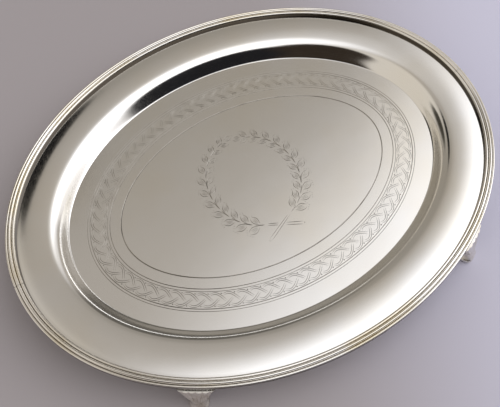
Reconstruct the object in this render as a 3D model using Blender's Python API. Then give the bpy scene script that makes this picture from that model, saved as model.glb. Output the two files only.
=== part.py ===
"""Oval silver salver: a tray raised from one sheet, a reeded border wire in two lengths
soldered round its edge, and four cast fan feet soldered under the border seat.

Units are metres. +X runs along the long axis and +Z is up. The origin lies on the table,
under the middle of the oval.
"""

from math import atan2, cos, pi, radians, sin

import bmesh
import bpy
from mathutils import Vector
from mathutils.geometry import interpolate_bezier

# Outline over the border
LENGTH = 0.204
WIDTH = 0.163

# Border wire
REED_WIDTHS = (0.0011, 0.0015, 0.0013)
REED_RISES = (0.0013, 0.0018, 0.0014)
WIRE_WIDTH = sum(REED_WIDTHS)
WIRE_WEB = 0.0006

# Tray section. Insets are measured in plan, square to the outer oval; rises are above the well.
# The flat seat under the wire runs in a little past the wire's inner edge. From there the flange
# swells gently to a crest, then falls away to the brink of the step.
SHEET = 0.0010
TRAY_EDGE_INSET = 0.0003
SEAT_MARGIN = 0.0004
SEAT_INNER_INSET = WIRE_WIDTH + SEAT_MARGIN
SEAT_RISE = 0.0066
FLANGE_WIDTH = 0.0118
RIM_SLOPE = 0.11
BRINK_SLOPE = 0.13
BRINK_RISE = 0.0062
STEP_WIDTH = 0.0070

# Feet. Reaches are measured outwards from the border's edge to the front of the casting. The
# fan's flat back stops just short of the seat's inner edge.
FOOT_HEIGHT = 0.0150
FOOT_ANGLE = radians(54.5)
FAN_BACK_CLEARANCE = 0.0001
FAN_BACK_INSET = SEAT_INNER_INSET - FAN_BACK_CLEARANCE
FAN_REACH = 0.0006
FAN_WIDTH = 0.0146
FAN_RIBS = 6
RIB_HEIGHT = 0.0004
ANKLE_REACH = 0.0024
ANKLE_WIDTH = 0.0042
ANKLE_DEPTH = 0.0032
ANKLE_HEIGHT = 0.0050
PAD_REACH = 0.0038
PAD_WIDTH = 0.0074
PAD_DEPTH = 0.0062
PAD_HEIGHT = 0.0022
SOLE_EDGE = 0.0005

# Clearance left for solder
SOLDER_GAP = 0.0003

# Fineness of the facets
STATIONS = 72
CURVE_STEPS = 5
REED_STEPS = 6
RIB_STEPS = 4
BACK_STEPS = 8

SEAT_UNDERSIDE = FOOT_HEIGHT + SOLDER_GAP
SEAT_TOP = SEAT_UNDERSIDE + SHEET
WELL_TOP = SEAT_TOP - SEAT_RISE
WIRE_BASE = SEAT_TOP + SOLDER_GAP


def clear_scene():
    for item in list(bpy.data.objects):
        bpy.data.objects.remove(item, do_unlink=True)


def oval_point(angle, inset, height):
    """A point a given distance inside the outer oval, measured square to it in plan."""
    half_length = LENGTH / 2
    half_width = WIDTH / 2
    outward = oval_outward(angle)
    edge = Vector((half_length * cos(angle), half_width * sin(angle), height))
    return edge - outward * inset


def oval_outward(angle):
    """The level direction square to the outer oval at a station."""
    return Vector((WIDTH * cos(angle), LENGTH * sin(angle), 0)).normalized()


def silver(name, color, roughness):
    material = bpy.data.materials.new(name)
    material.use_nodes = True
    shader = material.node_tree.nodes["Principled BSDF"]
    shader.inputs["Base Color"].default_value = (*color, 1.0)
    shader.inputs["Metallic"].default_value = 1.0
    shader.inputs["Roughness"].default_value = roughness
    return material


def add_object(name, bm, material):
    """Turns a finished bmesh into a smooth-shaded object of its own."""
    mesh = bpy.data.meshes.new(name)
    bm.to_mesh(mesh)
    bm.free()
    mesh.materials.append(material)
    mesh.shade_smooth()
    mesh.set_sharp_from_angle(angle=radians(35))
    item = bpy.data.objects.new(name, mesh)
    bpy.context.collection.objects.link(item)
    return item


def new_parts(result, kind):
    return [part for part in result["geom"] if isinstance(part, kind)]


def curve(start, handle_a, handle_b, end):
    """Points along one smooth stretch of a section, without its first point."""
    corners = [Vector((*corner, 0)) for corner in (start, handle_a, handle_b, end)]
    points = interpolate_bezier(*corners, CURVE_STEPS + 1)
    return [(point.x, point.y) for point in points[1:]]


def tray_section():
    """(inset, rise) of the sheet's upper face, from the edge in to the foot of the step."""
    seat_in = SEAT_INNER_INSET
    brink_in = seat_in + FLANGE_WIDTH
    step_in = brink_in + STEP_WIDTH
    seat = (seat_in, SEAT_RISE)
    brink = (brink_in, BRINK_RISE)
    shoulder = (brink_in + 0.66 * STEP_WIDTH, 0.52 * BRINK_RISE)
    rim_reach = 0.30 * FLANGE_WIDTH
    brink_reach = 0.35 * FLANGE_WIDTH
    roll_reach = 0.32 * STEP_WIDTH
    section = [(TRAY_EDGE_INSET, SEAT_RISE), seat]
    section += curve(
        seat,
        (seat_in + rim_reach, SEAT_RISE + RIM_SLOPE * rim_reach),
        (brink_in - brink_reach, BRINK_RISE + BRINK_SLOPE * brink_reach),
        brink,
    )
    section += curve(
        brink,
        (brink_in + roll_reach, BRINK_RISE - BRINK_SLOPE * roll_reach),
        (brink_in + 0.55 * STEP_WIDTH, 0.74 * BRINK_RISE),
        shoulder,
    )
    section += curve(
        shoulder,
        (brink_in + 0.77 * STEP_WIDTH, 0.30 * BRINK_RISE),
        (brink_in + 0.86 * STEP_WIDTH, 0),
        (step_in, 0),
    )
    return section


def make_tray(material):
    """The upper face is drawn inwards ring by ring; Solidify gives it the sheet's thickness."""
    bm = bmesh.new()
    angle_of = bm.verts.layers.float.new("angle")
    ring = bmesh.ops.create_circle(bm, segments=STATIONS, radius=1.0)["verts"]
    for vert in ring:
        vert[angle_of] = atan2(vert.co.y, vert.co.x)
    edges = bm.edges[:]
    for number, (inset, rise) in enumerate(tray_section()):
        if number:
            drawn = bmesh.ops.extrude_edge_only(bm, edges=edges)
            ring = new_parts(drawn, bmesh.types.BMVert)
            edges = new_parts(drawn, bmesh.types.BMEdge)
        for vert in ring:
            vert.co = oval_point(vert[angle_of], inset, WELL_TOP + rise)
    well = bmesh.ops.contextual_create(bm, geom=edges)["faces"][0]
    bmesh.ops.recalc_face_normals(bm, faces=bm.faces)
    well.normal_update()
    if well.normal.z < 0:
        bmesh.ops.reverse_faces(bm, faces=bm.faces)
    tray = add_object("tray_body", bm, material)
    sheet = tray.modifiers.new("sheet", "SOLIDIFY")
    sheet.thickness = SHEET
    sheet.offset = -1
    sheet.use_even_offset = True
    return tray


def wire_section():
    """(inset, height above the base) round the border wire: a flat base and three reeds."""
    section = [(WIRE_WIDTH, 0), (0, 0)]
    inset = 0
    for width, rise in zip(REED_WIDTHS, REED_RISES):
        for step in range(REED_STEPS + 1):
            turn = pi * step / REED_STEPS
            across = inset + width * (1 - cos(turn)) / 2
            section.append((across, WIRE_WEB + (rise - WIRE_WEB) * sin(turn)))
        inset += width
        if inset < WIRE_WIDTH - WIRE_WEB:
            section.pop()
    return section


def make_wire(name, first_angle, material):
    """One half of the border, swept from one end of the long axis to the other."""
    joint = SOLDER_GAP / WIDTH
    steps = STATIONS // 2
    bm = bmesh.new()
    inset_of = bm.verts.layers.float.new("inset")
    height_of = bm.verts.layers.float.new("height")
    for inset, height in wire_section():
        vert = bm.verts.new((inset, 0, height))
        vert[inset_of] = inset
        vert[height_of] = height
    outline = bm.verts[:]
    ring = outline
    edges = [bm.edges.new((outline[i - 1], outline[i])) for i in range(len(outline))]
    first_edges = edges
    for step in range(steps + 1):
        if step:
            drawn = bmesh.ops.extrude_edge_only(bm, edges=edges)
            ring = new_parts(drawn, bmesh.types.BMVert)
            edges = new_parts(drawn, bmesh.types.BMEdge)
        angle = first_angle + min(max(pi * step / steps, joint), pi - joint)
        for vert in ring:
            vert.co = oval_point(angle, vert[inset_of], WIRE_BASE + vert[height_of])
    for end in (first_edges, edges):
        bmesh.ops.contextual_create(bm, geom=end)
    bmesh.ops.recalc_face_normals(bm, faces=bm.faces)
    return add_object(name, bm, material)


def foot_levels():
    """(height, half width, half depth, middle, rib height) from the sole to the top."""
    fan_rise = FOOT_HEIGHT - ANKLE_HEIGHT
    fan_depth = FAN_REACH + FAN_BACK_INSET
    pad_middle = PAD_REACH - PAD_DEPTH / 2
    ankle_middle = ANKLE_REACH - ANKLE_DEPTH / 2
    neck_middle = (pad_middle + ankle_middle) / 2
    neck_height = (PAD_HEIGHT + ANKLE_HEIGHT) / 2
    sole_width = PAD_WIDTH / 2 - SOLE_EDGE
    sole_depth = PAD_DEPTH / 2 - SOLE_EDGE
    levels = [
        (0, sole_width, sole_depth, pad_middle, 0),
        (SOLE_EDGE, PAD_WIDTH / 2, PAD_DEPTH / 2, pad_middle, 0),
        (0.6 * PAD_HEIGHT, PAD_WIDTH / 2, PAD_DEPTH / 2, pad_middle, 0),
        (PAD_HEIGHT, 0.42 * PAD_WIDTH, 0.42 * PAD_DEPTH, pad_middle, 0),
        (neck_height, 0.55 * ANKLE_WIDTH, 0.6 * ANKLE_DEPTH, neck_middle, 0),
        (ANKLE_HEIGHT, ANKLE_WIDTH / 2, ANKLE_DEPTH / 2, ankle_middle, RIB_HEIGHT / 2),
    ]
    for share in (0.35, 0.7, 1.0):
        width = ANKLE_WIDTH + share * (FAN_WIDTH - ANKLE_WIDTH)
        depth = ANKLE_DEPTH + share * (fan_depth - ANKLE_DEPTH)
        front = ANKLE_REACH + share * (FAN_REACH - ANKLE_REACH)
        height = ANKLE_HEIGHT + share * fan_rise
        levels.append((height, width / 2, depth / 2, front - depth / 2, RIB_HEIGHT))
    return levels


def foot_outline():
    """(across, outwards, rib) in a unit square: a ribbed front face and a plain back."""
    steps = FAN_RIBS * RIB_STEPS
    front = []
    for step in range(steps + 1):
        across = 1 - 2 * step / steps
        rib = (1 - cos(2 * pi * step / RIB_STEPS)) / 2
        front.append((across, (1 - across**4) ** 0.5, rib))
    back = []
    for step in range(1, BACK_STEPS):
        turn = pi * step / BACK_STEPS
        back.append((-cos(turn), -sin(turn) ** 0.5, 0))
    return front + back


def make_foot_mesh(material):
    """One casting facing local +Y, with its sole at Z 0 and the border's edge at Y 0."""
    outline = foot_outline()
    bm = bmesh.new()
    place_of = bm.verts.layers.int.new("place")
    ring = bmesh.ops.create_circle(bm, segments=len(outline), radius=1.0)["verts"]
    for place, vert in enumerate(ring):
        vert[place_of] = place
    edges = bm.edges[:]
    first_edges = edges
    for number, (height, half_width, half_depth, middle, rib_height) in enumerate(foot_levels()):
        if number:
            drawn = bmesh.ops.extrude_edge_only(bm, edges=edges)
            ring = new_parts(drawn, bmesh.types.BMVert)
            edges = new_parts(drawn, bmesh.types.BMEdge)
        for vert in ring:
            across, outwards, rib = outline[vert[place_of]]
            depth = half_depth * outwards + rib_height * rib
            vert.co = (half_width * across, middle + depth, height)
    for end in (first_edges, edges):
        bmesh.ops.contextual_create(bm, geom=end)
    bmesh.ops.recalc_face_normals(bm, faces=bm.faces)
    foot = add_object("foot_front_left", bm, material)
    mesh = foot.data
    bpy.data.objects.remove(foot)
    return mesh


def place_foot(name, mesh, angle):
    """Stands a foot under the border seat, square to the oval."""
    outward = oval_outward(angle)
    foot = bpy.data.objects.new(name, mesh)
    foot.location = oval_point(angle, 0, 0)
    foot.rotation_euler.z = atan2(outward.y, outward.x) - pi / 2
    bpy.context.collection.objects.link(foot)
    return foot


clear_scene()
make_tray(silver("raised silver", (0.90, 0.87, 0.82), 0.14))
wire_silver = silver("drawn silver wire", (0.88, 0.85, 0.79), 0.16)
make_wire("border_wire_back", 0, wire_silver)
make_wire("border_wire_front", pi, wire_silver)
foot_mesh = make_foot_mesh(silver("cast silver", (0.82, 0.79, 0.72), 0.24))
place_foot("foot_back_right", foot_mesh, FOOT_ANGLE)
place_foot("foot_back_left", foot_mesh, pi - FOOT_ANGLE)
place_foot("foot_front_left", foot_mesh, pi + FOOT_ANGLE)
place_foot("foot_front_right", foot_mesh, -FOOT_ANGLE)
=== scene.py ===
from math import atan2, cos, pi, radians, sin

import bmesh
import bpy
import numpy as np
from mathutils import Matrix, Quaternion, Vector
from mathutils.geometry import interpolate_bezier


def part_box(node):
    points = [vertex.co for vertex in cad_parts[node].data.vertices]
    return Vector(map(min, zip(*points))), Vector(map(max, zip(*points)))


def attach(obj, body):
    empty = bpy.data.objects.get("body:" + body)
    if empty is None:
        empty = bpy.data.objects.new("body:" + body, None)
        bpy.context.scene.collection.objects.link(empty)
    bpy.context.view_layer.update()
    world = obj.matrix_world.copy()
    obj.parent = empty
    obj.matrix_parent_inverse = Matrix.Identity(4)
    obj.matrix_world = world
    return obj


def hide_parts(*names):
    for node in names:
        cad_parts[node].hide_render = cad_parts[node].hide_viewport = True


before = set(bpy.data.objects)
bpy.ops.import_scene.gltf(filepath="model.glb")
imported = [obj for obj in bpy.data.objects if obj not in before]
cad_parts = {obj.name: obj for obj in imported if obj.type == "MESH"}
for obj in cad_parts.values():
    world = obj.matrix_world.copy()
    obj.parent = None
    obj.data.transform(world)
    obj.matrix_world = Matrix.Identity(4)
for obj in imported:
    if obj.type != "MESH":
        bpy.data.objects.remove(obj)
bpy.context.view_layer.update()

# ---------------------------------------------------------------------------------------
# The tray: one sheet of sterling silver, raised into a flat oval well, a short step and a
# gently domed flange, planished, polished, and then engraved. Its outline is an oval, and
# every line on it keeps an even distance from that oval.
SHEET = 0.0010
TRAY_EDGE_INSET = 0.0003
HALF_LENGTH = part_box("tray_body")[1][0] + TRAY_EDGE_INSET
HALF_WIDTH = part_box("tray_body")[1][1] + TRAY_EDGE_INSET
EDGE_SOFTNESS = 0.0003
SEAT_WIDTH = 0.0040
SEAT_RISE = 0.0066
FLANGE_WIDTH = 0.0118
RIM_SLOPE = 0.11
BRINK_SLOPE = 0.13
BRINK_RISE = 0.0062
STEP_WIDTH = 0.0070
STATIONS = 288
CURVE_STEPS = 12

WELL_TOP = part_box("tray_body")[0][2] + SHEET
SEAT_TOP = WELL_TOP + SEAT_RISE


def oval_outward(angle):
    return Vector((HALF_WIDTH * cos(angle), HALF_LENGTH * sin(angle), 0)).normalized()


def oval_point(angle, inset, height):
    edge = Vector((HALF_LENGTH * cos(angle), HALF_WIDTH * sin(angle), height))
    return edge - oval_outward(angle) * inset


def curve(start, handle_a, handle_b, end, steps=CURVE_STEPS):
    """Points along one smooth stretch of a section, without its first point."""
    corners = [Vector((*corner, 0)) for corner in (start, handle_a, handle_b, end)]
    return [(p.x, p.y) for p in interpolate_bezier(*corners, steps + 1)[1:]]


def sheet_section():
    """(inset, rise) of the sheet's upper face, from its edge in to the foot of the step."""
    seat_in = TRAY_EDGE_INSET + SEAT_WIDTH
    brink_in = seat_in + FLANGE_WIDTH
    brink = (brink_in, BRINK_RISE)
    shoulder = (brink_in + 0.60 * STEP_WIDTH, 0.60 * BRINK_RISE)
    rim_reach = 0.30 * FLANGE_WIDTH
    brink_reach = 0.35 * FLANGE_WIDTH
    roll_reach = 0.32 * STEP_WIDTH
    section = [(TRAY_EDGE_INSET + EDGE_SOFTNESS, SEAT_RISE), (seat_in, SEAT_RISE)]
    section += curve(
        (seat_in, SEAT_RISE),
        (seat_in + rim_reach, SEAT_RISE + RIM_SLOPE * rim_reach),
        (brink_in - brink_reach, BRINK_RISE + BRINK_SLOPE * brink_reach),
        brink,
    )
    section += curve(
        brink,
        (brink_in + roll_reach, BRINK_RISE - BRINK_SLOPE * roll_reach),
        (brink_in + 0.46 * STEP_WIDTH, 0.80 * BRINK_RISE),
        shoulder,
    )
    section += curve(
        shoulder,
        (brink_in + 0.76 * STEP_WIDTH, 0.37 * BRINK_RISE),
        (brink_in + 0.94 * STEP_WIDTH, 0),
        (brink_in + STEP_WIDTH, 0),
    )
    return section


def lower_face(section):
    """The same line one sheet's thickness below, measured square to the upper face."""
    points = []
    for i, (inset, rise) in enumerate(section):
        before = section[max(i - 1, 0)]
        after = section[min(i + 1, len(section) - 1)]
        along = Vector((after[0] - before[0], after[1] - before[1])).normalized()
        points.append((inset + along.y * SHEET, rise - along.x * SHEET))
    return points


def sweep_rings(bm, section, angle_of, cut_of):
    """Draws the section round the oval, one ring for each of its points."""
    ring = bmesh.ops.create_circle(bm, segments=STATIONS, radius=1.0)["verts"]
    for vert in ring:
        vert[angle_of] = atan2(vert.co.y, vert.co.x)
    edges = [edge for edge in bm.edges if edge.is_wire]
    rings = []
    for number, (inset, rise, cut) in enumerate(section):
        if number:
            drawn = bmesh.ops.extrude_edge_only(bm, edges=edges)["geom"]
            ring = [part for part in drawn if isinstance(part, bmesh.types.BMVert)]
            edges = [part for part in drawn if isinstance(part, bmesh.types.BMEdge)]
            for face in drawn:
                if isinstance(face, bmesh.types.BMFace):
                    face.material_index = cut
        for vert in ring:
            vert.co = oval_point(vert[angle_of], inset, WELL_TOP + rise)
        rings.append(edges)
    return rings


# The engraver's oval lines: two double lines that hold the plaited band, and one heavier line
# inside it. Each is (inset of its middle, width, depth).
OUTER_PAIR = ((0.0304, 0.00022, 0.00006), (0.0314, 0.00030, 0.00009))
INNER_PAIR = ((0.0383, 0.00022, 0.00006), (0.0394, 0.00030, 0.00009))
HEAVY_LINE = (0.0440, 0.00046, 0.00012)


def line_cut(line):
    inset, width, depth = line
    half = width / 2
    return [(inset - half, 0, 0), (inset, -depth, 1), (inset + half, 0, 1)]


def tray_rings():
    """Two chains of rings: the band's inner side to the heavy line, and all that lies outside."""
    outer = sheet_section()
    under = lower_face(outer)
    outside = []
    for line in reversed(OUTER_PAIR):
        cut = line_cut(line)
        outside += [(cut[2][0], 0, 0), (cut[1][0], cut[1][1], 1), (cut[0][0], 0, 1)]
    outside += [(inset, rise, 0) for inset, rise in reversed(outer)]
    mid_edge = SEAT_RISE - SHEET / 2
    outside += [
        (TRAY_EDGE_INSET + 0.3 * EDGE_SOFTNESS, SEAT_RISE - 0.3 * EDGE_SOFTNESS, 0),
        (TRAY_EDGE_INSET, SEAT_RISE - EDGE_SOFTNESS, 0),
        (TRAY_EDGE_INSET, mid_edge, 0),
        (TRAY_EDGE_INSET, SEAT_RISE - SHEET + EDGE_SOFTNESS, 0),
        (TRAY_EDGE_INSET + 0.3 * EDGE_SOFTNESS, SEAT_RISE - SHEET + 0.3 * EDGE_SOFTNESS, 0),
    ]
    outside += [(inset, rise, 0) for inset, rise in under]
    inside = []
    for line in (*INNER_PAIR, HEAVY_LINE):
        inside += line_cut(line)
    return outside, inside


# Strokes of the graver are V cuts that taper out at both ends. Each is drawn as its middle
# line; the two sides are drawn out from it and the middle is sunk.
def add_stroke(bm, layers, points, width, depth):
    """One cut along points on the well. It is widest in the middle and runs out to nothing."""
    side_of, middle_of = layers
    verts = []
    last = len(points) - 1
    for i, point in enumerate(points):
        before = points[max(i - 1, 0)]
        after = points[min(i + 1, last)]
        along = (after - before).normalized()
        swell = sin(pi * i / last) ** 0.6 if 0 < i < last else 0
        vert = bm.verts.new((point.x, point.y, WELL_TOP))
        vert[side_of] = Vector((-along.y, along.x, 0)) * (swell * width / 2)
        vert[middle_of] = swell * depth
        verts.append(vert)
    return [bm.edges.new(pair) for pair in zip(verts, verts[1:])]


def open_strokes(bm, layers, edges):
    """Draws both sides out from the middle lines and sinks the middles."""
    side_of, middle_of = layers
    middles = list({vert for edge in edges for vert in edge.verts})
    sides = []
    for hand in (1, -1):
        drawn = bmesh.ops.extrude_edge_only(bm, edges=edges)["geom"]
        moved = [part for part in drawn if isinstance(part, bmesh.types.BMVert)]
        for vert in moved:
            vert.co += vert[side_of] * hand
        sides += moved
        for part in drawn:
            if isinstance(part, bmesh.types.BMFace):
                part.material_index = 1
    for vert in middles:
        vert.co.z -= vert[middle_of]
    bmesh.ops.remove_doubles(bm, verts=middles + sides, dist=1e-7)


# The band is a three-strand plait of double-line ribbons, each strand passing over and under
# in turn, with a pricked dot in every space along its edges.
BAND_OUT = OUTER_PAIR[1][0] + OUTER_PAIR[1][1] / 2
BAND_IN = INNER_PAIR[0][0] - INNER_PAIR[0][1] / 2
BAND_MIDDLE = (BAND_OUT + BAND_IN) / 2
STRANDS = 3
PLAIT_TURNS = 23
PLAIT_REACH = 0.0026
RIBBON_HALF = 0.00036
UNDER_GAP = 0.245
PLAIT_STEPS = 12
RIBBON_CUT = (0.00020, 0.00008)
DOT_CUT = (0.00062, 0.00016)
DOT_INSET = 0.0025

table_angles = np.linspace(0, 2 * pi, 2881)
table_points = np.array([oval_point(a, BAND_MIDDLE, 0)[:2] for a in table_angles])
table_lengths = np.concatenate(
    [[0], np.cumsum(np.hypot(*np.diff(table_points, axis=0).T))]
)
PLAIT_LENGTH = table_lengths[-1] / PLAIT_TURNS


def band_point(along, across):
    """A point given by its length round the band and its distance out from the middle."""
    angle = np.interp(along % table_lengths[-1], table_lengths, table_angles)
    return oval_point(angle, BAND_MIDDLE - across, 0)


def plait_strokes():
    slope = 2 * pi * PLAIT_REACH / PLAIT_LENGTH
    for strand in range(STRANDS):
        for half_turn in range(2 * PLAIT_TURNS):
            start = pi / 6 + pi * half_turn + UNDER_GAP
            end = pi / 6 + pi * (half_turn + 1) - UNDER_GAP
            for hand in (1, -1):
                points = []
                for step in range(PLAIT_STEPS + 1):
                    turn = start + (end - start) * step / PLAIT_STEPS
                    along = PLAIT_LENGTH * (turn / (2 * pi) + strand / STRANDS)
                    across = PLAIT_REACH * sin(turn)
                    square = Vector((-slope * cos(turn), 1)).normalized() * (hand * RIBBON_HALF)
                    points.append(band_point(along + square.x, across + square.y))
                yield points, *RIBBON_CUT


def dot(center, cut):
    width, depth = cut
    reach = Vector((width / 2, 0, 0))
    return [center - reach, center, center + reach], width, depth


def plait_dots():
    pitch = PLAIT_LENGTH / STRANDS
    for number in range(STRANDS * PLAIT_TURNS):
        along = pitch * number + PLAIT_LENGTH / 4
        yield dot(band_point(along + pitch / 2, DOT_INSET), DOT_CUT)
        yield dot(band_point(along, -DOT_INSET), DOT_CUT)


# The wreath is two laurel sprays with crossed stems at the front. Leaves stand in pairs along
# each stem, smaller towards the tips, each with a cut outline, veins and pricked dots.
WREATH_HALF_WIDTH = 0.0190
WREATH_HALF_HEIGHT = 0.0218
WREATH_MIDDLE_Y = 0.0007
SPRAY_START = 0.30
SPRAY_ENDS = {1: 2.86, -1: 3.02}
SPRAY_LIFTS = {1: -0.0010, -1: 0.0010}
LEAF_PAIRS = 11
LEAF_LENGTHS = (0.0054, 0.0036)
LEAF_SPREAD = radians(38)
LEAF_BREADTH = 0.245
LEAF_OUTLINE = (0.00025, 0.00010)
LEAF_VEIN = (0.00014, 0.00006)
LEAF_DOT = (0.00036, 0.00009)
STEM_CUT = (0.00042, 0.00014)
STEM_ENDS = {1: Vector((-0.0075, -0.0271, 0)), -1: Vector((0.0082, -0.0268, 0))}
STEM_HALF_WIDTHS = (0.00035, 0.00062)


def spray_point(hand, turn):
    x = hand * WREATH_HALF_WIDTH * sin(turn)
    y = WREATH_MIDDLE_Y - WREATH_HALF_HEIGHT * cos(turn)
    return Vector((x, y + SPRAY_LIFTS[hand] * (turn / pi) ** 6, 0))


def leaf_strokes(base, direction, length, breadth, dots):
    """Two bowed sides that nearly meet at the point, three veins, and dots round the tip."""
    across = Vector((-direction.y, direction.x, 0))
    for hand in (1, -1):
        side = []
        for step in range(11):
            share = 0.03 + 0.94 * step / 10
            bow = breadth * length * sin(pi * share**1.15) ** 0.9
            side.append(base + direction * (length * share) + across * (hand * (bow + 0.00018)))
        yield side, *LEAF_OUTLINE
    for lean in (-0.30, 0, 0.30):
        vein = []
        for step in range(5):
            share = 0.16 + 0.62 * step / 4
            off = lean * length * (0.15 + 0.42 * share)
            vein.append(base + direction * (length * share) + across * off)
        yield vein, *LEAF_VEIN
    for lean in dots:
        tip = base + direction * (length * (1.15 - abs(lean) * 0.6)) + across * (lean * length)
        yield dot(tip, LEAF_DOT)


def spray_strokes(hand):
    end = SPRAY_ENDS[hand]
    steps = LEAF_PAIRS
    stations = [SPRAY_START + (end - SPRAY_START) * i / steps for i in range(steps + 1)]
    for i in range(steps):
        stem = []
        for step in range(5):
            turn = stations[i] + (stations[i + 1] - stations[i]) * (0.06 + 0.88 * step / 4)
            stem.append(spray_point(hand, turn))
        yield stem, *STEM_CUT
    for i in range(steps):
        share = i / (steps - 1)
        length = LEAF_LENGTHS[0] + (LEAF_LENGTHS[1] - LEAF_LENGTHS[0]) * share
        turn = stations[i] + 0.5 * (stations[1] - stations[0])
        here = spray_point(hand, turn)
        along = (spray_point(hand, turn + 0.01) - here).normalized()
        for side in (1, -1):
            inner = side == hand
            direction = Quaternion((0, 0, 1), side * LEAF_SPREAD) @ along
            across = Quaternion((0, 0, 1), side * pi / 2) @ along
            size = length * (0.88 if inner else 1)
            dots = (0, 0.2 * side) if inner else (-0.34, -0.17, 0, 0.17, 0.34)
            breadth = LEAF_BREADTH * (0.92 if inner else 1)
            yield from leaf_strokes(here + across * 0.0005, direction, size, breadth, dots)
    tip = spray_point(hand, stations[-1])
    along = (tip - spray_point(hand, stations[-1] - 0.02)).normalized()
    yield from leaf_strokes(tip + along * 0.0004, along, LEAF_LENGTHS[1], LEAF_BREADTH, (0,))


def stem_strokes(hand):
    """The bare end of a stem, drawn as two sides and a slanting cut. The left one lies over."""
    start = spray_point(hand, SPRAY_START)
    end = STEM_ENDS[hand]
    line = end - start
    across = Vector((-line.y, line.x, 0)).normalized()
    breaks = ((0.04, 0.98),) if hand == 1 else ((0.04, 0.34), (0.52, 0.98))
    for first, last in breaks:
        for side in (1, -1):
            points = []
            for step in range(7):
                share = first + (last - first) * step / 6
                half = STEM_HALF_WIDTHS[0] + (STEM_HALF_WIDTHS[1] - STEM_HALF_WIDTHS[0]) * share
                points.append(start + line * share + across * (side * half))
            yield points, *LEAF_OUTLINE
    nib = across * (STEM_HALF_WIDTHS[1] * 0.7)
    yield [end - nib, end + line * 0.01, end + nib], *LEAF_OUTLINE


def engrave(bm, layers, strokes, border):
    """Cuts the strokes into the flat area inside a closed border of edges."""
    middles = []
    for points, width, depth in strokes:
        middles += add_stroke(bm, layers, points, width, depth)
    before = {edge for edge in bm.edges if edge.is_boundary}
    open_strokes(bm, layers, middles)
    rims = [edge for edge in bm.edges if edge.is_boundary and edge not in before]
    filled = bmesh.ops.triangle_fill(
        bm, use_beauty=True, use_dissolve=False, edges=rims + border, normal=(0, 0, 1)
    )
    for part in filled["geom"]:
        if isinstance(part, bmesh.types.BMFace):
            part.material_index = 0


def make_tray():
    bm = bmesh.new()
    angle_of = bm.verts.layers.float.new("angle")
    side_of = bm.verts.layers.float_vector.new("side")
    middle_of = bm.verts.layers.float.new("middle")
    layers = (side_of, middle_of)
    outside, inside = tray_rings()
    outer_rings = sweep_rings(bm, outside, angle_of, 1)
    inner_rings = sweep_rings(bm, inside, angle_of, 1)
    bmesh.ops.contextual_create(bm, geom=outer_rings[-1])
    band_strokes = [*plait_strokes(), *plait_dots()]
    engrave(bm, layers, band_strokes, outer_rings[0] + inner_rings[0])
    wreath = [*spray_strokes(1), *spray_strokes(-1), *stem_strokes(1), *stem_strokes(-1)]
    engrave(bm, layers, wreath, inner_rings[-1])
    bmesh.ops.recalc_face_normals(bm, faces=bm.faces)
    mesh = bpy.data.meshes.new("tray_body_engraved")
    bm.to_mesh(mesh)
    bm.free()
    return mesh


def finish_piece(name, mesh, materials, nodes, sharp=14):
    """Makes the piece, shades it smooth and lets it stand for its CAD nodes."""
    for material in materials:
        mesh.materials.append(material)
    mesh.shade_smooth()
    mesh.set_sharp_from_angle(angle=radians(sharp))
    piece = bpy.data.objects.new(name, mesh)
    bpy.context.collection.objects.link(piece)
    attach(piece, "root")
    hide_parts(*nodes)
    return piece


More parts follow.
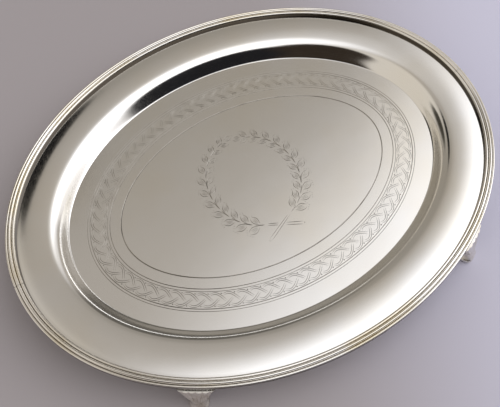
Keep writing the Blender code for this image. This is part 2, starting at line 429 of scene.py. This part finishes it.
# Polished silver carries a faint toning in broad patches, slow waves left by planishing, and a
# haze of fine wiping scratches. One effect gives all three from the piece's own coordinates.
def make_wear_group():
    group = bpy.data.node_groups.new("silver_wear", "ShaderNodeTree")
    for name, kind, value in (
        ("Clean", "NodeSocketColor", (0.93, 0.91, 0.87, 1)),
        ("Toned", "NodeSocketColor", (0.80, 0.74, 0.62, 1)),
        ("Toning", "NodeSocketFloat", 0.3),
        ("Roughness Low", "NodeSocketFloat", 0.1),
        ("Roughness High", "NodeSocketFloat", 0.2),
        ("Patch Scale", "NodeSocketFloat", 30.0),
        ("Scratch Scale", "NodeSocketFloat", 5000.0),
    ):
        group.interface.new_socket(name, in_out="INPUT", socket_type=kind).default_value = value
    group.interface.new_socket("Color", in_out="OUTPUT", socket_type="NodeSocketColor")
    group.interface.new_socket("Roughness", in_out="OUTPUT", socket_type="NodeSocketFloat")
    group.interface.new_socket("Height", in_out="OUTPUT", socket_type="NodeSocketFloat")
    nodes, links = group.nodes, group.links
    inlet = nodes.new("NodeGroupInput")
    outlet = nodes.new("NodeGroupOutput")
    place = nodes.new("ShaderNodeTexCoord")

    def noise(scale, detail, stretch=None):
        texture = nodes.new("ShaderNodeTexNoise")
        texture.inputs["Detail"].default_value = detail
        source = place.outputs["Object"]
        if stretch:
            mapping = nodes.new("ShaderNodeMapping")
            mapping.inputs["Scale"].default_value = stretch
            mapping.inputs["Rotation"].default_value = (0, 0, radians(35))
            links.new(source, mapping.inputs["Vector"])
            source = mapping.outputs["Vector"]
        links.new(source, texture.inputs["Vector"])
        if isinstance(scale, str):
            links.new(inlet.outputs[scale], texture.inputs["Scale"])
        else:
            texture.inputs["Scale"].default_value = scale
        return texture.outputs["Fac"]

    patches = noise("Patch Scale", 3)
    grains = noise("Scratch Scale", 2, (1, 0.06, 1))
    cross_grains = noise("Scratch Scale", 2, (0.08, 1, 1))
    waves = noise(60.0, 1)

    tone_range = nodes.new("ShaderNodeMapRange")
    tone_range.inputs["From Min"].default_value = 0.48
    tone_range.inputs["From Max"].default_value = 0.80
    links.new(patches, tone_range.inputs["Value"])
    tone = nodes.new("ShaderNodeMath")
    tone.operation = "MULTIPLY"
    links.new(tone_range.outputs["Result"], tone.inputs[0])
    links.new(inlet.outputs["Toning"], tone.inputs[1])
    mix = nodes.new("ShaderNodeMix")
    mix.data_type = "RGBA"
    links.new(tone.outputs["Value"], mix.inputs["Factor"])
    links.new(inlet.outputs["Clean"], mix.inputs["A"])
    links.new(inlet.outputs["Toned"], mix.inputs["B"])
    links.new(mix.outputs["Result"], outlet.inputs["Color"])

    scratch = nodes.new("ShaderNodeMath")
    scratch.operation = "MAXIMUM"
    links.new(grains, scratch.inputs[0])
    links.new(cross_grains, scratch.inputs[1])
    rough = nodes.new("ShaderNodeMapRange")
    rough.inputs["From Min"].default_value = 0.45
    rough.inputs["From Max"].default_value = 0.75
    links.new(scratch.outputs["Value"], rough.inputs["Value"])
    links.new(inlet.outputs["Roughness Low"], rough.inputs["To Min"])
    links.new(inlet.outputs["Roughness High"], rough.inputs["To Max"])
    links.new(rough.outputs["Result"], outlet.inputs["Roughness"])

    height = nodes.new("ShaderNodeMath")
    height.operation = "MULTIPLY_ADD"
    links.new(scratch.outputs["Value"], height.inputs[0])
    height.inputs[1].default_value = 0.02
    links.new(waves, height.inputs[2])
    links.new(height.outputs["Value"], outlet.inputs["Height"])
    return group


silver_wear = make_wear_group()


def silver_material(name, settings, bump_strength, bump_distance):
    material = bpy.data.materials.new(name)
    material.use_nodes = True
    nodes, links = material.node_tree.nodes, material.node_tree.links
    shader = nodes["Principled BSDF"]
    shader.inputs["Metallic"].default_value = 1.0
    wear = nodes.new("ShaderNodeGroup")
    wear.node_tree = silver_wear
    for socket, value in settings.items():
        wear.inputs[socket].default_value = value
    bump = nodes.new("ShaderNodeBump")
    bump.inputs["Strength"].default_value = bump_strength
    bump.inputs["Distance"].default_value = bump_distance
    links.new(wear.outputs["Height"], bump.inputs["Height"])
    links.new(wear.outputs["Color"], shader.inputs["Base Color"])
    links.new(wear.outputs["Roughness"], shader.inputs["Roughness"])
    links.new(bump.outputs["Normal"], shader.inputs["Normal"])
    return material


sheet_silver = silver_material(
    "polished_sheet_silver",
    {
        "Clean": (0.90, 0.89, 0.87, 1),
        "Toned": (0.86, 0.79, 0.64, 1),
        "Toning": 0.45,
        "Roughness Low": 0.09,
        "Roughness High": 0.17,
        "Patch Scale": 22.0,
    },
    0.10,
    0.0004,
)
# The graver cuts are coloured dark: partly tarnish held in the cuts, partly painted shade that
# keeps every stroke dark under any light.
cut_tarnish_and_painted_shade = silver_material(
    "graver_cut_tarnish_and_painted_shade",
    {
        "Clean": (0.32, 0.30, 0.265, 1),
        "Toned": (0.10, 0.085, 0.065, 1),
        "Toning": 0.8,
        "Roughness Low": 0.16,
        "Roughness High": 0.30,
        "Patch Scale": 160.0,
    },
    0.2,
    0.0002,
)
finish_piece(
    "engraved_tray", make_tray(), [sheet_silver, cut_tarnish_and_painted_shade], ["tray_body"]
)

# ---------------------------------------------------------------------------------------
# The border: silver wire drawn with three reeds, bent round the edge in two lengths and
# soldered to the flange. The butt joints lie at the ends of the long axis.
WIRE_WIDTH = 0.0039
WIRE_WEB = 0.0006
REED_WIDTHS = (0.0011, 0.0015, 0.0013)
REED_RISES = (0.0013, 0.0018, 0.0014)
REED_STEPS = 12
WIRE_STATIONS = 180
JOINT_GAP = 0.00012
WIRE_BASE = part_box("border_wire_back")[0][2]


def wire_section():
    """(inset, height) round the wire: a flat base that meets the flange, and three reeds."""
    sunk = SEAT_TOP - WIRE_BASE
    section = [(WIRE_WIDTH, sunk), (0, sunk)]
    inset = 0
    for width, rise in zip(REED_WIDTHS, REED_RISES):
        for step in range(REED_STEPS + 1):
            turn = pi * step / REED_STEPS
            across = inset + width * (1 - cos(turn)) / 2
            section.append((across, WIRE_WEB + (rise - WIRE_WEB) * sin(turn)))
        inset += width
        if inset < WIRE_WIDTH - WIRE_WEB:
            section.pop()
    return section


def make_wire(first_angle):
    joint = JOINT_GAP / 2 / HALF_WIDTH
    bm = bmesh.new()
    inset_of = bm.verts.layers.float.new("inset")
    height_of = bm.verts.layers.float.new("height")
    for inset, height in wire_section():
        vert = bm.verts.new((inset, 0, height))
        vert[inset_of] = inset
        vert[height_of] = height
    ring = bm.verts[:]
    edges = [bm.edges.new((ring[i - 1], ring[i])) for i in range(len(ring))]
    first_edges = edges
    for step in range(WIRE_STATIONS + 1):
        if step:
            drawn = bmesh.ops.extrude_edge_only(bm, edges=edges)["geom"]
            ring = [part for part in drawn if isinstance(part, bmesh.types.BMVert)]
            edges = [part for part in drawn if isinstance(part, bmesh.types.BMEdge)]
        angle = first_angle + min(max(pi * step / WIRE_STATIONS, joint), pi - joint)
        for vert in ring:
            vert.co = oval_point(angle, vert[inset_of], WIRE_BASE + vert[height_of])
    for end in (first_edges, edges):
        bmesh.ops.contextual_create(bm, geom=end)
    bmesh.ops.recalc_face_normals(bm, faces=bm.faces)
    mesh = bpy.data.meshes.new("border_wire")
    bm.to_mesh(mesh)
    bm.free()
    return mesh


wire_silver = silver_material(
    "drawn_wire_silver",
    {
        "Clean": (0.90, 0.87, 0.82, 1),
        "Toned": (0.72, 0.62, 0.40, 1),
        "Toning": 0.8,
        "Roughness Low": 0.12,
        "Roughness High": 0.22,
        "Patch Scale": 40.0,
    },
    0.25,
    0.0003,
)


# Painted shade: the low parts of the wire, which are its two grooves and the foot of its outer
# and inner reeds, are painted near black, fading out a little way up the reeds.
GROOVE_BOTTOM = WIRE_BASE + WIRE_WEB + 0.0001
SHADE_FADE_HEIGHT = 0.0005


def paint_shade_on_low_parts(material):
    nodes, links = material.node_tree.nodes, material.node_tree.links
    place = nodes.new("ShaderNodeTexCoord")
    parts = nodes.new("ShaderNodeSeparateXYZ")
    links.new(place.outputs["Object"], parts.inputs["Vector"])
    unshaded = nodes.new("ShaderNodeMapRange")
    unshaded.interpolation_type = "SMOOTHSTEP"
    unshaded.inputs["From Min"].default_value = GROOVE_BOTTOM
    unshaded.inputs["From Max"].default_value = GROOVE_BOTTOM + SHADE_FADE_HEIGHT
    links.new(parts.outputs["Z"], unshaded.inputs["Value"])
    # Painted shade: below the mask the wire's colour goes near black, whatever the light.
    painted_shade = nodes.new("ShaderNodeMix")
    painted_shade.data_type = "RGBA"
    painted_shade.inputs["A"].default_value = (0.07, 0.058, 0.045, 1)
    links.new(unshaded.outputs["Result"], painted_shade.inputs["Factor"])
    color = nodes["Principled BSDF"].inputs["Base Color"]
    links.new(color.links[0].from_socket, painted_shade.inputs["B"])
    links.new(painted_shade.outputs["Result"], color)


paint_shade_on_low_parts(wire_silver)
for side, first_angle in (("back", 0), ("front", pi)):
    finish_piece(
        f"reeded_border_{side}",
        make_wire(first_angle),
        [wire_silver],
        [f"border_wire_{side}"],
        sharp=50,
    )

# ---------------------------------------------------------------------------------------
# The feet: four castings from one pattern, a fluted fan that narrows to an ankle over a small
# pad. Each is filed flat on top and soldered under the border seat.
FOOT_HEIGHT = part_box("foot_front_left")[1][2]
FOOT_ANGLE = radians(54.5)
FAN_BACK_INSET = 0.0042
FAN_REACH = 0.0006
FAN_WIDTH = 0.0146
FAN_RIBS = 6
RIB_HEIGHT = 0.0004
ANKLE_REACH = 0.0024
ANKLE_WIDTH = 0.0042
ANKLE_DEPTH = 0.0032
ANKLE_HEIGHT = 0.0050
PAD_REACH = 0.0038
PAD_WIDTH = 0.0074
PAD_DEPTH = 0.0062
PAD_HEIGHT = 0.0022
SOLE_EDGE = 0.0005
RIB_STEPS = 10
BACK_STEPS = 20
LEVEL_STEPS = 5


def foot_levels():
    """(height, half width, half depth, middle, rib height) from the sole to the top."""
    fan_rise = FOOT_HEIGHT - ANKLE_HEIGHT
    fan_depth = FAN_REACH + FAN_BACK_INSET
    pad_middle = PAD_REACH - PAD_DEPTH / 2
    ankle_middle = ANKLE_REACH - ANKLE_DEPTH / 2
    neck_middle = (pad_middle + ankle_middle) / 2
    neck_height = (PAD_HEIGHT + ANKLE_HEIGHT) / 2
    half_width = PAD_WIDTH / 2
    half_depth = PAD_DEPTH / 2
    levels = [
        (0, half_width - SOLE_EDGE, half_depth - SOLE_EDGE, pad_middle, 0),
        (SOLE_EDGE, half_width, half_depth, pad_middle, 0),
        (0.6 * PAD_HEIGHT, half_width, half_depth, pad_middle, 0),
        (PAD_HEIGHT, 0.42 * PAD_WIDTH, 0.42 * PAD_DEPTH, pad_middle, 0),
        (neck_height, 0.55 * ANKLE_WIDTH, 0.6 * ANKLE_DEPTH, neck_middle, 0),
        (ANKLE_HEIGHT, ANKLE_WIDTH / 2, ANKLE_DEPTH / 2, ankle_middle, RIB_HEIGHT / 2),
    ]
    for share in (0.35, 0.7, 1.0):
        width = ANKLE_WIDTH + share * (FAN_WIDTH - ANKLE_WIDTH)
        depth = ANKLE_DEPTH + share * (fan_depth - ANKLE_DEPTH)
        front = ANKLE_REACH + share * (FAN_REACH - ANKLE_REACH)
        height = ANKLE_HEIGHT + share * fan_rise
        levels.append((height, width / 2, depth / 2, front - depth / 2, RIB_HEIGHT))
    return levels


def smooth_levels(levels):
    """Eases the casting's outline between its named levels."""
    table = np.array(levels)
    at = np.arange(len(table))
    fine = np.linspace(0, len(table) - 1, (len(table) - 1) * LEVEL_STEPS + 1)
    slopes = np.gradient(table, axis=0)
    slopes[0] = slopes[-1] = 0
    eased = []
    for place in fine:
        low = min(int(place), len(table) - 2)
        t = place - at[low]
        eased.append(
            (2 * t**3 - 3 * t**2 + 1) * table[low]
            + (t**3 - 2 * t**2 + t) * slopes[low] * 0.8
            + (3 * t**2 - 2 * t**3) * table[low + 1]
            + (t**3 - t**2) * slopes[low + 1] * 0.8
        )
    eased = np.array(eased)
    sizes = [0, 1, 2, 4]
    eased[:, sizes] = np.maximum(eased[:, sizes], 0)
    return eased.tolist()


def foot_outline():
    """(across, outwards, rib) in a unit square: a ribbed front face and a plain back."""
    steps = FAN_RIBS * RIB_STEPS
    front = []
    for step in range(steps + 1):
        across = 1 - 2 * step / steps
        rib = abs(sin(pi * step / RIB_STEPS)) ** 0.7
        front.append((across, (1 - across**4) ** 0.5, rib))
    back = []
    for step in range(1, BACK_STEPS):
        turn = pi * step / BACK_STEPS
        back.append((-cos(turn), -sin(turn) ** 0.5, 0))
    return front + back


def make_foot(angle):
    outline = foot_outline()
    bm = bmesh.new()
    place_of = bm.verts.layers.int.new("place")
    ring = bmesh.ops.create_circle(bm, segments=len(outline), radius=1.0)["verts"]
    for place, vert in enumerate(ring):
        vert[place_of] = place
    edges = bm.edges[:]
    first_edges = edges
    for number, level in enumerate(smooth_levels(foot_levels())):
        height, half_width, half_depth, middle, rib_height = level
        if number:
            drawn = bmesh.ops.extrude_edge_only(bm, edges=edges)["geom"]
            ring = [part for part in drawn if isinstance(part, bmesh.types.BMVert)]
            edges = [part for part in drawn if isinstance(part, bmesh.types.BMEdge)]
        for vert in ring:
            across, outwards, rib = outline[vert[place_of]]
            depth = half_depth * outwards + rib_height * rib
            vert.co = (half_width * across, middle + depth, height)
    for end in (first_edges, edges):
        bmesh.ops.contextual_create(bm, geom=end)
    outward = oval_outward(angle)
    turn = Matrix.Rotation(atan2(outward.y, outward.x) - pi / 2, 4, "Z")
    bmesh.ops.transform(bm, matrix=turn, verts=bm.verts)
    bmesh.ops.translate(bm, vec=oval_point(angle, 0, 0), verts=bm.verts)
    bmesh.ops.recalc_face_normals(bm, faces=bm.faces)
    mesh = bpy.data.meshes.new("fan_foot")
    bm.to_mesh(mesh)
    bm.free()
    return mesh


foot_silver = silver_material(
    "cast_foot_silver",
    {
        "Clean": (0.84, 0.81, 0.75, 1),
        "Toned": (0.50, 0.44, 0.34, 1),
        "Toning": 0.8,
        "Roughness Low": 0.18,
        "Roughness High": 0.34,
        "Patch Scale": 220.0,
    },
    0.4,
    0.0003,
)
for place, angle in (
    ("back_right", FOOT_ANGLE),
    ("back_left", pi - FOOT_ANGLE),
    ("front_left", pi + FOOT_ANGLE),
    ("front_right", -FOOT_ANGLE),
):
    finish_piece(
        f"fan_foot_{place}",
        make_foot(angle),
        [foot_silver],
        [f"foot_{place}"],
        sharp=40,
    )

# ---------------------------------------------------------------------------------------
# The stage: a pale lilac-grey sheet under the salver, darkened by painted shade towards the left
# and back, soft studio light from large panels, and a camera close above the front.
def make_floor():
    bm = bmesh.new()
    bmesh.ops.create_grid(bm, x_segments=1, y_segments=1, size=3.0)
    mesh = bpy.data.meshes.new("floor")
    bm.to_mesh(mesh)
    bm.free()
    material = bpy.data.materials.new("pale_sheet_painted_shade")
    material.use_nodes = True
    nodes, links = material.node_tree.nodes, material.node_tree.links
    shader = nodes["Principled BSDF"]
    shader.inputs["Roughness"].default_value = 0.8
    # Painted shade: the sheet's colour runs from light lavender on the right to brown-grey on the
    # left and back, over a band 0.13 m wide from the middle.
    place = nodes.new("ShaderNodeTexCoord")
    across = nodes.new("ShaderNodeVectorMath")
    across.operation = "DOT_PRODUCT"
    across.inputs[1].default_value = (0.91, -0.40, 0)
    links.new(place.outputs["Object"], across.inputs[0])
    share = nodes.new("ShaderNodeMapRange")
    share.interpolation_type = "SMOOTHSTEP"
    share.inputs["From Min"].default_value = 0.00
    share.inputs["From Max"].default_value = 0.13
    links.new(across.outputs["Value"], share.inputs["Value"])
    tint = nodes.new("ShaderNodeMix")
    tint.data_type = "RGBA"
    tint.inputs["A"].default_value = (0.41, 0.375, 0.385, 1)
    tint.inputs["B"].default_value = (0.70, 0.69, 0.84, 1)
    links.new(share.outputs["Result"], tint.inputs["Factor"])
    links.new(tint.outputs["Result"], shader.inputs["Base Color"])
    mesh.materials.append(material)
    floor = bpy.data.objects.new("floor", mesh)
    bpy.context.collection.objects.link(floor)


def make_world():
    """A studio dome: a warm grey room, soft glows where the panels stand, a dark camera side."""
    world = bpy.data.worlds.new("studio")
    bpy.context.scene.world = world
    world.use_nodes = True
    nodes, links = world.node_tree.nodes, world.node_tree.links
    place = nodes.new("ShaderNodeTexCoord")
    room = nodes.new("ShaderNodeRGB")
    room.outputs["Color"].default_value = (0.43, 0.395, 0.355, 1)
    color = room.outputs["Color"]

    def add_zone(blend, tint, axis, start, full):
        nonlocal color
        facing = nodes.new("ShaderNodeVectorMath")
        facing.operation = "DOT_PRODUCT"
        facing.inputs[1].default_value = Vector(axis).normalized()
        links.new(place.outputs["Generated"], facing.inputs[0])
        share = nodes.new("ShaderNodeMapRange")
        share.interpolation_type = "SMOOTHSTEP"
        share.inputs["From Min"].default_value = start
        share.inputs["From Max"].default_value = full
        links.new(facing.outputs["Value"], share.inputs["Value"])
        mix = nodes.new("ShaderNodeMix")
        mix.data_type = "RGBA"
        mix.blend_type = blend
        mix.inputs["B"].default_value = (*tint, 1)
        links.new(share.outputs["Result"], mix.inputs["Factor"])
        links.new(color, mix.inputs["A"])
        color = mix.outputs["Result"]

    add_zone("MIX", (0.31, 0.285, 0.25), (0.10, 0.95, 0.30), 0.64, 0.90)
    add_zone("ADD", (1.02, 1.05, 1.12), (0.40, -0.42, 0.81), 0.57, 0.90)
    add_zone("ADD", (0.40, 0.41, 0.44), (0.75, 0.10, 0.65), 0.84, 0.96)
    add_zone("ADD", (0.60, 0.61, 0.65), (0.88, -0.38, 0.28), 0.86, 0.96)
    add_zone("ADD", (0.24, 0.23, 0.21), (-0.85, 0.20, 0.40), 0.55, 0.85)
    add_zone("MIX", (0.012, 0.012, 0.014), (0.05, -0.97, 0.22), 0.83, 0.89)
    add_zone("MIX", (0.030, 0.022, 0.016), (-0.60, -0.62, 0.48), 0.89, 0.95)
    add_zone("MIX", (0.12, 0.11, 0.095), (0.45, 0.78, 0.24), 0.93, 0.985)
    add_zone("MIX", (0.050, 0.045, 0.036), (-0.55, 0.75, 0.34), 0.955, 0.99)
    add_zone("MIX", (0.006, 0.006, 0.006), (-0.10, 0.65, 0.75), 0.989, 0.993)
    links.new(color, nodes["Background"].inputs["Color"])


make_floor()
make_world()

CAMERA_PLACE = Vector((-0.05922, -0.12735, 0.25540))
CAMERA_TARGET = Vector((-0.00657, -0.00860, 0.00970))
camera_data = bpy.data.cameras.new("camera")
camera_data.sensor_width = 36.0
camera_data.lens = 49.4
camera_data.clip_start = 0.01
camera = bpy.data.objects.new("camera", camera_data)
camera.location = CAMERA_PLACE
look = (CAMERA_TARGET - CAMERA_PLACE).to_track_quat("-Z", "Y")
camera.rotation_mode = "QUATERNION"
camera.rotation_quaternion = look @ Quaternion((0, 0, 1), radians(-5.15))
bpy.context.collection.objects.link(camera)
bpy.context.scene.camera = camera
bpy.context.scene.view_settings.view_transform = "Standard"
